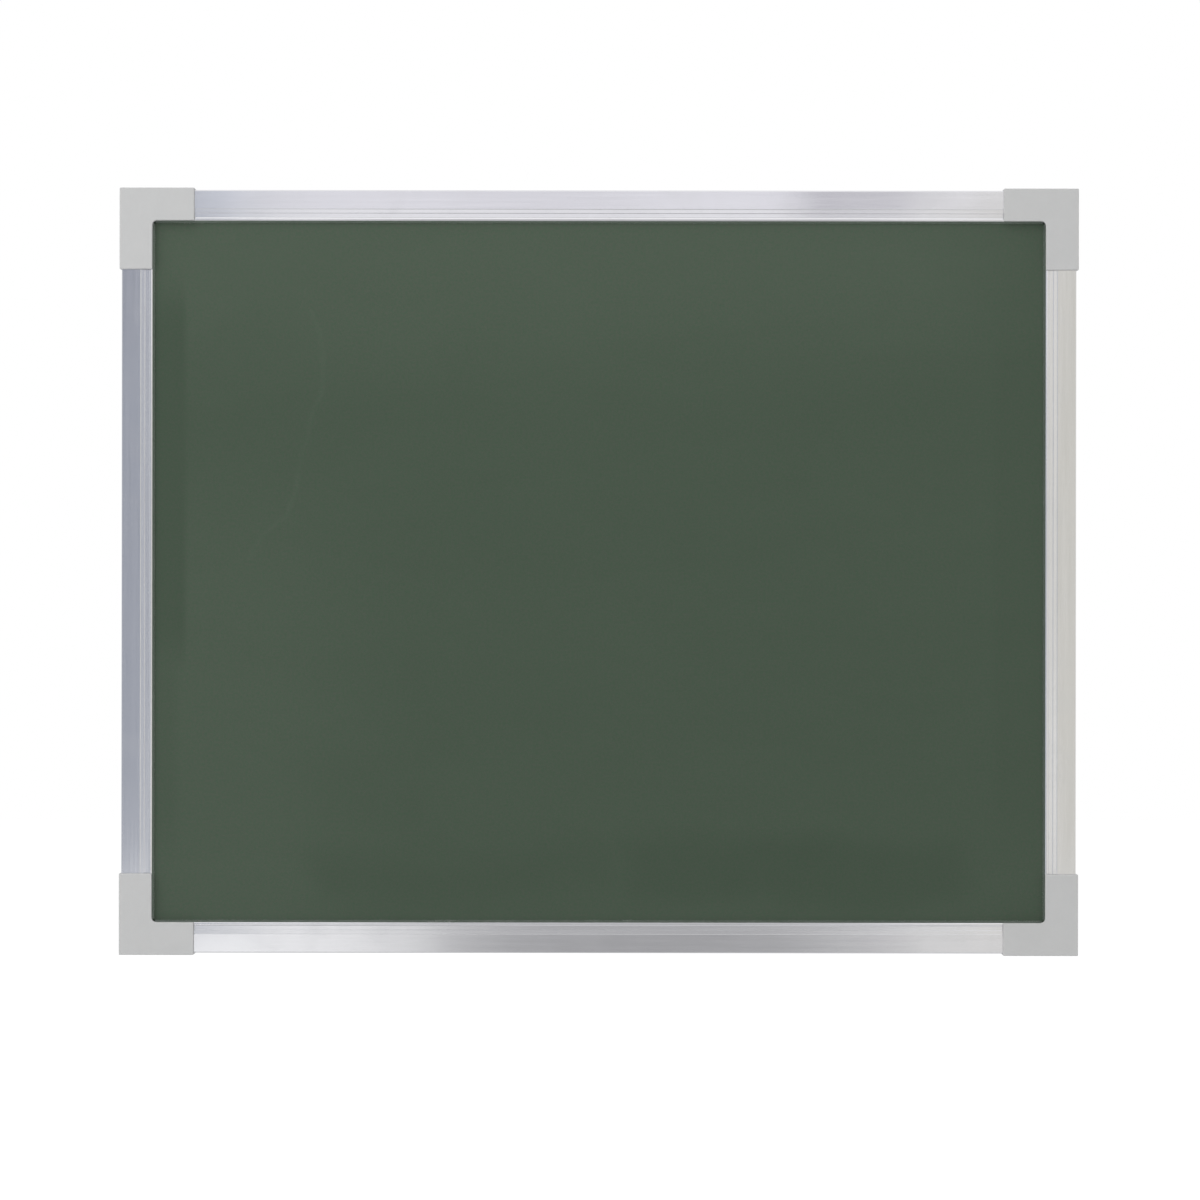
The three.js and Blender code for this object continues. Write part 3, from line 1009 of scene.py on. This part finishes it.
@dataclass
class FrameRails(SubAssembly):
    """Four hollow rails, each one length of the same extrusion with two countersunk holes."""

    start: float = 17.5238
    depth: float = 13.0
    band_end: float = 9.75
    rib: Pair = (10.0, 11.85)
    rib_depths: Pair = (12.73, 12.66)
    recess: Pair = (12.1, 12.26)
    bead_middle: Pair = (14.9936, 11.4)
    bead_radius: float = 1.2
    bead_sweep: float = 105.19
    bead_steps: int = 14
    flank_slope: float = 57.0
    lip: Pair = (17.0738, 10.3)
    lip_foot: float = 0.1
    web: float = 9.2
    back_lip: float = 14.5
    wall: float = 1.3
    outer_radius: float = 0.6
    chamber: tuple[Pair, Pair] = ((1.3, 1.3), (7.9, 11.7))
    chamber_radius: float = 0.3
    wide_rounding: float = 0.5
    screw_inset: Pair = (30.5238, 4.6)
    hole: tuple[Pair, ...] = ((0, -1), (2.85, -1), (2.85, 0.3), (1.55, 1.75), (1.55, 9.65), (0, 9.65))
    hole_sides: int = 40

    def build(self) -> None:
        """Builds the rails, which are drawn along the top and turned to their sides."""
        level, upright = (self.half_width, self.half_height), (self.half_height, self.half_width)
        plan = (
            ("rail_top", level, 0.0, Run.LEVEL),
            ("rail_left", upright, -math.pi / 2, Run.UPRIGHT),
            ("rail_bottom", level, math.pi, Run.LEVEL),
            ("rail_right", upright, math.pi / 2, Run.UPRIGHT),
        )
        for node, (half_span, height), turn, run in plan:
            bm = cut(node, self.bar(half_span, height), self.holes(half_span, height))
            bmesh.ops.rotate(bm, verts=bm.verts[:], cent=(0, 0, 0), matrix=Matrix.Rotation(turn, 3, "Y"))
            self.finish_piece(node.replace("rail", "frame_rail"), bm, ALUMINIUM[run], node, smooth=24)

    def at(self, half_span: float, height: float, inset: float, depth: float) -> Vector:
        """Returns a point of the section at the bar's left end, in metres."""
        return Vector((self.start - half_span, -depth, height - inset)) * MM

    def corners(self) -> list[tuple[float, float, float]]:
        """Returns the section's corners from the recess round to the lip: inset, depth, rounding."""
        return [
            (*self.recess, 0.05),
            (self.rib[1], self.rib_depths[1], 0.05),
            (self.rib[0], self.rib_depths[0], 0.05),
            (self.band_end, self.depth, 0.06),
            (0, self.depth, self.outer_radius),
            (0, 0, 0.35),
            (self.back_lip, 0, 0.3),
            (self.back_lip, self.wall, 0.2),
            (self.web, self.wall, 0.25),
            (self.web, self.lip[1], 0.25),
            (self.lip[0], self.lip[1], 0),
            (self.lip[0], self.lip[1] + self.lip_foot, 0),
        ]

    def bead(self, bm: bmesh.types.BMesh, half_span: float, height: float) -> tuple[Any, Any]:
        """Draws the bead's round from its flank to the recess.

        Args:
            bm: the section's mesh.
            half_span: half the length of the frame's side in mm.
            height: the height of the frame's upper side in mm.

        Returns:
            The bead's first and last points.
        """
        inset, depth = self.bead_middle
        slope = math.radians(90 - self.flank_slope)
        side = (inset + self.bead_radius * math.cos(slope), depth + self.bead_radius * math.sin(slope))
        foot = bm.verts.new(self.at(half_span, height, *side))
        drawn = bmesh.ops.spin(
            bm,
            geom=[foot],
            cent=self.at(half_span, height, inset, depth),
            axis=(1, 0, 0),
            angle=-math.radians(self.bead_sweep),
            steps=self.bead_steps,
        )
        return foot, next(part for part in drawn["geom_last"] if isinstance(part, bmesh.types.BMVert))

    def bar(self, half_span: float, height: float) -> bmesh.types.BMesh:
        """Draws the section and pulls it out to the bar's length.

        Args:
            half_span: half the length of the frame's side in mm.
            height: the height of the frame's upper side in mm.

        Returns:
            The hollow bar along the top.
        """
        bm = bmesh.new()
        foot, last = self.bead(bm, half_span, height)
        corners = self.corners()
        drawn = [bm.verts.new(self.at(half_span, height, inset, depth)) for inset, depth, _ in corners]
        ring = [last, *drawn, foot]
        for pair in zip(ring, ring[1:]):
            bm.edges.new(pair)
        bmesh.ops.edgeloop_fill(bm, edges=bm.edges[:])
        for vert, (_, _, rounding) in zip(drawn, corners):
            if rounding:
                self.round_corner(bm, vert, rounding)
        (inset_0, depth_0), (inset_1, depth_1) = self.chamber
        hollow = [(inset_0, depth_0), (inset_1, depth_0), (inset_1, depth_1), (inset_0, depth_1)]
        inner = [bm.verts.new(self.at(half_span, height, *point)) for point in hollow]
        bm.faces.new(inner)
        for vert in inner:
            self.round_corner(bm, vert, self.chamber_radius)
        bmesh.ops.delete(bm, geom=bm.faces[:], context="FACES_ONLY")
        filled = bmesh.ops.triangle_fill(bm, edges=bm.edges[:], use_beauty=True, normal=(1, 0, 0))
        section = [part for part in filled["geom"] if isinstance(part, bmesh.types.BMFace)]
        pulled = bmesh.ops.extrude_face_region(bm, geom=section)
        far = [part for part in pulled["geom"] if isinstance(part, bmesh.types.BMVert)]
        bmesh.ops.translate(bm, verts=far, vec=(2 * (half_span - self.start) * MM, 0, 0))
        close_shape(bm)
        return bm

    def round_corner(self, bm: bmesh.types.BMesh, vert: bmesh.types.BMVert, rounding: float) -> None:
        """Rounds one corner of a flat outline, a wide one in more steps."""
        bevel(bm, [vert], rounding, 8 if rounding > self.wide_rounding else 3, affect="VERTICES")

    def holes(self, half_span: float, height: float) -> bmesh.types.BMesh:
        """Returns the two screw holes of a bar as one closed shape each.

        Args:
            half_span: half the length of the frame's side in mm.
            height: the height of the frame's upper side in mm.
        """
        along, side = self.screw_inset
        bm = turned(self.hole, self.hole_sides)
        bmesh.ops.translate(bm, verts=bm.verts[:], vec=(0, 0, (height - side) * MM))
        twin = bmesh.ops.duplicate(bm, geom=bm.verts[:] + bm.edges[:] + bm.faces[:])["geom"]
        moved = [part for part in twin if isinstance(part, bmesh.types.BMVert)]
        first = [vert for vert in bm.verts if vert not in set(moved)]
        bmesh.ops.translate(bm, verts=first, vec=((along - half_span) * MM, 0, 0))
        bmesh.ops.translate(bm, verts=moved, vec=((half_span - along) * MM, 0, 0))
        return bm


@dataclass
class CornerCovers(SubAssembly):
    """Four plastic covers: a thin L with a skirt round its outer sides and two pegs behind."""

    across: float = 37.9
    upright: float = 41.4
    out: float = 1.1
    skirt: float = 1.0
    rim: float = 0.6
    plate: Pair = (13.1, 14.5)
    ledge: Pair = (10.1, 12.8)
    inner: float = 16.0
    corner: float = 2.5
    edge: float = 0.5
    back_edge: float = 0.12
    tip_edge: float = 0.25
    margin: float = 0.01
    sharp: float = 50
    pegs: Pair = (14.2738, 2.95)
    peg_radii: Pair = (0.9, 1.15)
    peg_depths: Pair = (8.5, 13.8)
    peg_sides: int = 28

    def build(self) -> None:
        """Builds the cover of the lower left corner and mirrors it to the other corners."""
        for end, side in CORNERS:
            bm = self.shell()
            self.add_pegs(bm)
            bmesh.ops.translate(bm, verts=bm.verts[:], vec=place_of(-self.half_width, 0, -self.half_height))
            bmesh.ops.scale(bm, verts=bm.verts[:], vec=(-side.value, 1, -end.value))
            close_shape(bm)
            node = f"corner_cover_{end.name}_{side.name}".lower()
            self.finish_piece(node.replace("corner", "push_on"), bm, COVER_PLASTIC, node, smooth=40)

    def section(self) -> list[Pair]:
        """Returns an arm's section: pairs of inset and depth."""
        under, front = self.plate
        return [
            (-self.out, self.rim),
            (self.skirt - self.out, self.rim),
            (self.skirt - self.out, under),
            (self.ledge[0], under),
            (self.ledge[0], self.ledge[1]),
            (self.inner, self.ledge[1]),
            (self.inner, front),
            (-self.out, front),
        ]

    def shell(self) -> bmesh.types.BMesh:
        """Pulls an arm's section round the corner and rounds its edges."""
        bm = bmesh.new()
        points = [bm.verts.new(place_of(self.across, depth, inset)) for inset, depth in self.section()]
        face = bm.faces.new(points)
        for upright in (False, True):
            pulled = bmesh.ops.extrude_face_region(bm, geom=[face, *face.edges, *face.verts])["geom"]
            face = next(part for part in pulled if isinstance(part, bmesh.types.BMFace))
            for vert in face.verts:
                if upright:
                    vert.co.z = self.upright * MM
                else:
                    vert.co.x = vert.co.z
        close_shape(bm)
        self.round_mitre(bm)
        round_edges(bm, self.show_edges(bm), self.edge, 4)
        plate = -self.plate[0] * MM - NEAR
        sharp = sharp_edges(bm, self.sharp, 1.0)
        behind = [edge for edge in sharp if min(vert.co.y for vert in edge.verts) > plate]
        round_edges(bm, behind, self.back_edge, 2)
        return bm

    def round_mitre(self, bm: bmesh.types.BMesh) -> None:
        """Rounds the cover's edge where it turns the corner of the green sheet."""
        spot = (self.inner * MM, self.inner * MM)
        found = [edge for edge in bm.edges if all(math.dist(v.co.xz, spot) < NEAR for v in edge.verts)]
        bevel(bm, found, self.corner, 8)

    def show_edges(self, bm: bmesh.types.BMesh) -> list[bmesh.types.BMEdge]:
        """Returns the outer edges that show: round the front, down the corner and at the arm ends."""
        front = -(self.plate[1] - self.margin) * MM
        outer = (self.margin - self.out) * MM
        found = []
        for edge in sharp_edges(bm, self.sharp):
            a, b = (vert.co for vert in edge.verts)
            on_front = a.y < front and b.y < front
            outside = min(a.x, a.z) < outer and min(b.x, b.z) < outer
            downwards = abs(a.y - b.y) > 5 * MM
            if on_front or (outside and downwards):
                found.append(edge)
        return found

    def add_pegs(self, bm: bmesh.types.BMesh) -> None:
        """Adds the two tapered pegs that grip the corner block."""
        (tip, root), (start, stop) = self.peg_radii, self.peg_depths
        for x, z in (self.pegs, self.pegs[::-1]):
            middle = Matrix.Translation(place_of(x, (start + stop) / 2, z))
            made = bmesh.ops.create_cone(
                bm,
                cap_ends=True,
                segments=self.peg_sides,
                radius1=tip * MM,
                radius2=root * MM,
                depth=(stop - start) * MM,
                matrix=middle @ Matrix.Rotation(math.pi / 2, 4, "X"),
            )
            rim = [edge for edge in {e for v in made["verts"] for e in v.link_edges} if self.is_tip(edge)]
            round_edges(bm, rim, self.tip_edge, 3)

    def is_tip(self, edge: bmesh.types.BMEdge) -> bool:
        """Returns whether an edge goes round a peg's tip."""
        return all(abs(-vert.co.y / MM - self.peg_depths[0]) < self.margin for vert in edge.verts)


@dataclass
class CornerBlocks(SubAssembly):
    """Four moulded blocks that plug the rails together and take the wall screws."""

    edge: float = 0.18
    merged: float = 0.002
    flat: float = 0.5
    sharp: float = 40
    shortest: float = 0.9

    def build(self) -> None:
        """Rounds the edges of a merged copy of each block."""
        for end, side in CORNERS:
            node = f"corner_block_{end.name}_{side.name}".lower()
            bm = bmesh.new()
            bm.from_mesh(frame["nodes"][node].data)
            bmesh.ops.remove_doubles(bm, verts=bm.verts[:], dist=self.merged * MM)
            flat = math.radians(self.flat)
            bmesh.ops.dissolve_limit(bm, angle_limit=flat, verts=bm.verts[:], edges=bm.edges[:])
            round_edges(bm, sharp_edges(bm, self.sharp, self.shortest), self.edge, 2)
            bmesh.ops.recalc_face_normals(bm, faces=bm.faces[:])
            self.finish_piece(node.replace("corner_block", "plug_block"), bm, BLOCK_PLASTIC, node, smooth=30)


@dataclass
class RailScrews(SubAssembly):
    """Eight countersunk self-tapping screws, driven from the back."""

    spot: Pair = (30.5238, 4.6)
    sides: int = 36
    head: float = 2.75
    head_edge: Pair = (0.12, 0.1)
    rim: Pair = (0.05, 0.3)
    neck: float = 1.75
    neck_round: Pair = (0.1, 0.25)
    shank: float = 1.1
    ridge: float = 1.45
    ridge_top: Pair = (0.22, 0.28)
    ridge_foot: float = 0.5
    pitch: float = 1.1
    point: float = 2.4
    point_end: Pair = (0.25, 0.1)
    tip: float = 9.55
    arm: float = 1.6
    slot: float = 0.8
    floor: float = 1.15
    narrowed: float = 0.7

    def build(self) -> None:
        """Builds a screw at each end of each rail."""
        for end, side in CORNERS:
            for (first, second), (inset_x, inset_z) in (
                ((end, side), self.spot),
                ((side, end), self.spot[::-1]),
            ):
                node = f"rail_screw_{first.name}_{second.name}".lower()
                bm = cut(node, turned(self.outline(), self.sides), self.recess())
                x = side.value * (self.half_width - inset_x)
                z = end.value * (self.half_height - inset_z)
                bmesh.ops.translate(bm, verts=bm.verts[:], vec=place_of(x, 0, z))
                self.finish_piece(node.replace("rail_screw", "tapping_screw"), bm, ZINC_STEEL, node)

    def outline(self) -> list[Pair]:
        """Returns the screw's outline as pairs of radius and depth."""
        top, thread_end = self.rim[0], self.tip - self.point
        points = [(0, top), (self.head - self.head_edge[0], top), (self.head, top + self.head_edge[1])]
        points += [(self.head, self.rim[1]), (self.shank + self.neck_round[0], self.neck)]
        points += [(self.shank, self.neck + self.neck_round[1])]
        foot = self.neck + self.pitch / 2
        while foot + self.ridge_foot < thread_end:
            points += [(self.shank, foot), *((self.ridge, foot + rise) for rise in self.ridge_top)]
            points += [(self.shank, foot + self.ridge_foot)]
            foot += self.pitch
        radius, length = self.point_end
        return [*points, (self.shank, thread_end), (radius, self.tip - length), (0, self.tip)]

    def recess(self) -> bmesh.types.BMesh:
        """Returns the cross that is pressed into the head, narrower at its floor."""
        bm = bmesh.new()
        for width, height in ((2 * self.arm, self.slot), (self.slot, 2 * self.arm)):
            size = Matrix.Diagonal((width * MM, (self.floor + 1) * MM, height * MM, 1))
            middle = Matrix.Translation(place_of(0, (self.floor - 1) / 2, 0))
            made = bmesh.ops.create_cube(bm, size=1, matrix=middle @ size)
            low = [vert for vert in made["verts"] if -vert.co.y > 0]
            bmesh.ops.scale(bm, verts=low, vec=(self.narrowed, 1, self.narrowed))
        return bm


# --------------------------------------------------------------------------- the studio


def studio_material(name: str) -> tuple[bpy.types.Material, Bench]:
    """Makes a material with no nodes, whose glow isn't used as a lamp.

    Args:
        name: its name.

    Returns:
        The material and a bench for its nodes.
    """
    made = bpy.data.materials.new(name)
    made.use_nodes = True
    made.cycles.emission_sampling = "NONE"
    made.node_tree.nodes.clear()
    return made, Bench(made.node_tree)


@dataclass
class Flag:
    """A card that only reflections see: its size and place in its plane, its tint and cover."""

    name: str
    middle: Pair
    half: Pair
    feather: Pair
    tint: Colour
    cover: float = 1.0
    stand: float = -450.0
    plane: Plane = Plane.FACE
    border: float = 5.0

    def build(self) -> None:
        """Makes the card, which reaches a little past its soft edge."""
        bm = bmesh.new()
        corners = bmesh.ops.create_grid(bm, x_segments=1, y_segments=1, size=1)["verts"]
        reach = [half + feather + self.border for half, feather in zip(self.half, self.feather)]
        for corner in corners:
            first = self.middle[0] + math.copysign(reach[0], corner.co.x)
            second = self.middle[1] + math.copysign(reach[1], corner.co.y)
            corner.co = self.plane.lay(first, second, self.stand)
        card = to_object(f"studio_{self.name}", bm)
        card.data.materials.append(self.material())
        for ray in ("camera", "diffuse", "transmission", "volume_scatter", "shadow"):
            setattr(card, f"visible_{ray}", False)

    def material(self) -> bpy.types.Material:
        """Returns a plain tint that fades out towards the card's edge."""
        made, bench = studio_material(f"studio_{self.name}")
        patch = Patch(self.middle, self.half, self.feather, self.cover, self.plane)
        mask = patch.mask(bench, bench.coordinates())
        card = bench.mixed(mask, bench.out("ShaderNodeBsdfTransparent"), bench.glow(self.tint))
        bench.add("ShaderNodeOutputMaterial", {"Surface": card})
        return made


@dataclass
class Studio:
    """A white room: a pale floor, soft lamps, cards for the metal and the camera.

    The picture's width and the board's middle in it are in pixels, and the scale is in
    millimetres to the pixel.
    """

    picture: float = 1200
    scale: float = 0.5216
    middle: Pair = (598.8, 571.8)
    lens: float = 120.0
    sensor: float = 36.0
    face: float = 12.5
    lean: float = -0.07
    drop: float = 260.0
    ambient: float = 0.41
    ambient_tint: Colour = (0.985, 1.0, 1.0)
    lamps: tuple[tuple[str, Colour, float, float], ...] = (
        ("lamp_key", (-1.1, -1.7, 1.3), 3.0, 44.5),
        ("lamp_fill", (1.4, -1.8, 0.5), 1.6, 3.0),
        ("lamp_back", (0.4, 2.2, 1.4), 1.6, 14.0),
        ("lamp_end", (2.0, 0.3, 0.2), 1.2, 9.0),
    )
    flags: tuple[Flag, ...] = (
        Flag("card_left", (-350, 60), (100, 250), (45, 45), (0.335, 0.358, 0.415)),
        Flag("card_left_end", (-262, 155), (9, 22), (12, 12), (0.31, 0.33, 0.385), 0.9, -160.0),
        Flag("card_right", (340, 0), (80, 230), (50, 50), (0.645, 0.63, 0.575)),
        Flag("card_low", (32, -250), (82, 35), (145, 145), (0.357, 0.357, 0.365)),
        Flag("card_low_start", (-143, -207), (50, 18), (8, 14), (0.84, 0.84, 0.845), 0.45, -160.0),
        Flag("card_low_step", (162, -207), (9, 18), (7, 14), (0.56, 0.55, 0.56), 0.6, -160.0),
        Flag("card_low_end", (255, -255), (30, 35), (50, 50), (0.72, 0.71, 0.7), 0.9, -445.0),
        Flag("card_top", (0, 265), (270, 45), (45, 45), (0.81, 0.8, 0.855)),
        Flag("card_top_left", (-34, 250), (40, 30), (35, 30), (0.72, 0.71, 0.765), 0.9, -440.0),
        Flag("card_top_middle", (144.5, 210), (28, 20), (7, 12), (0.585, 0.575, 0.62), 0.9, -160.0),
        Flag("card_top_notch", (124, 210), (4, 20), (8, 12), (0.45, 0.44, 0.485), 0.55, -158.0),
        Flag("card_top_end", (-217, 210), (15, 20), (5, 12), (0.63, 0.66, 0.74), 0.8, -160.0),
        Flag("card_middle", (0, 0), (150, 90), (80, 80), (0.5, 0.51, 0.53), 0.9),
        Flag("card_back", (0, 0), (500, 400), (150, 150), (0.74, 0.75, 0.77), 0.9, 500.0),
        Flag("wing_left", (-50, 0), (560, 280), (60, 60), (0.52, 0.54, 0.58), 1.0, -460.0, Plane.SIDE),
        Flag("wing_right", (-50, 0), (560, 280), (60, 60), (0.72, 0.71, 0.68), 0.9, 460.0, Plane.SIDE),
        Flag("wing_low", (0, -220), (300, 400), (60, 60), (0.6, 0.6, 0.61), 1.0, -400.0, Plane.LEVEL),
        Flag("wing_over", (25, -240), (110, 170), (70, 50), (0.5, 0.5, 0.51), 1.0, 60.0, Plane.LEVEL),
        Flag("wing_high", (0, 700), (500, 700), (150, 150), (0.78, 0.78, 0.8), 1.0, 450.0, Plane.LEVEL),
    )

    def build(self) -> None:
        """Sets up everything that isn't the object."""
        self.view()
        self.world()
        self.floor()
        for lamp in self.lamps:
            self.hang(*lamp)
        for flag in self.flags:
            flag.build()
        bpy.context.scene.view_settings.view_transform = "Standard"

    def view(self) -> None:
        """Stands the camera square to the board, with the photograph's frame and place."""
        camera = bpy.data.cameras.new("camera")
        camera.lens = self.lens
        camera.sensor_width = self.sensor
        width = self.picture * self.scale * MM
        distance = width * self.lens / camera.sensor_width
        holder = bpy.data.objects.new("camera", camera)
        x = (self.picture / 2 - self.middle[0]) * self.scale * MM
        z = (self.middle[1] - self.picture / 2) * self.scale * MM
        holder.location = (x, -self.face * MM - distance, z)
        holder.rotation_euler = (math.pi / 2, math.radians(self.lean), 0)
        bpy.context.scene.collection.objects.link(holder)
        bpy.context.scene.camera = holder

    def world(self) -> None:
        """Shows white to the camera, to reflections and through glass, and lights softly."""
        world = bpy.data.worlds.new("studio_world")
        bpy.context.scene.world = world
        world.use_nodes = True
        world.node_tree.nodes.clear()
        bench = Bench(world.node_tree)
        colour = bench.tint(bench.seen(), times(self.ambient_tint, self.ambient), (1, 1, 1))
        light = bench.out("ShaderNodeBackground", {"Color": colour, "Strength": 1.0})
        bench.add("ShaderNodeOutputWorld", {"Surface": light})

    def floor(self) -> None:
        """Lays a pale floor below the hung board, which keeps its shadow and is clear from below."""
        bm = bmesh.new()
        bmesh.ops.create_grid(bm, x_segments=1, y_segments=1, size=6)
        bmesh.ops.translate(bm, verts=bm.verts[:], vec=(0, 0, CAD_BOX[0].z - self.drop * MM))
        ground = to_object("studio_floor", bm)
        made, bench = studio_material("studio_floor")
        pale = bench.out("ShaderNodeBsdfDiffuse", {"Color": (0.8, 0.8, 0.8)})
        shaded = bench.out("ShaderNodeBsdfDiffuse", {"Color": (0.3, 0.3, 0.3)})
        white = bench.out("ShaderNodeAddShader", {0: shaded, 1: bench.glow((1, 1, 1), 0.88)})
        surface = bench.mixed(bench.seen(), pale, white)
        below = bench.add("ShaderNodeNewGeometry").outputs["Backfacing"]
        both = bench.mixed(below, surface, bench.out("ShaderNodeBsdfTransparent"))
        bench.add("ShaderNodeOutputMaterial", {"Surface": both})
        ground.data.materials.append(made)

    def hang(self, name: str, spot: Colour, size: float, power: float) -> None:
        """Hangs a round lamp that looks at the origin. The metal reflects the cards, and not the lamps.

        Args:
            name: the lamp's name.
            spot: its place in metres.
            size: its width in metres.
            power: its power in watts.
        """
        light = bpy.data.lights.new(name, "AREA")
        light.shape = "DISK"
        light.size = size
        light.energy = power
        holder = bpy.data.objects.new(name, light)
        holder.location = spot
        holder.rotation_euler = (-Vector(spot)).to_track_quat("-Z", "Y").to_euler()
        holder.visible_glossy = False
        bpy.context.scene.collection.objects.link(holder)


def main() -> None:
    """Builds the board's sub-assemblies in order, then the studio."""
    logging.basicConfig(level=logging.INFO, format="%(name)s: %(message)s")
    for assembly in (WritingPanel(), FrameRails(), CornerBlocks(), RailScrews(), CornerCovers()):
        assembly.build()
        for piece in assembly.pieces:
            log.info("%s, %s, %d faces", type(assembly).__name__, piece.name, len(piece.data.polygons))
    Studio().build()


if __name__ == "__main__":
    main()
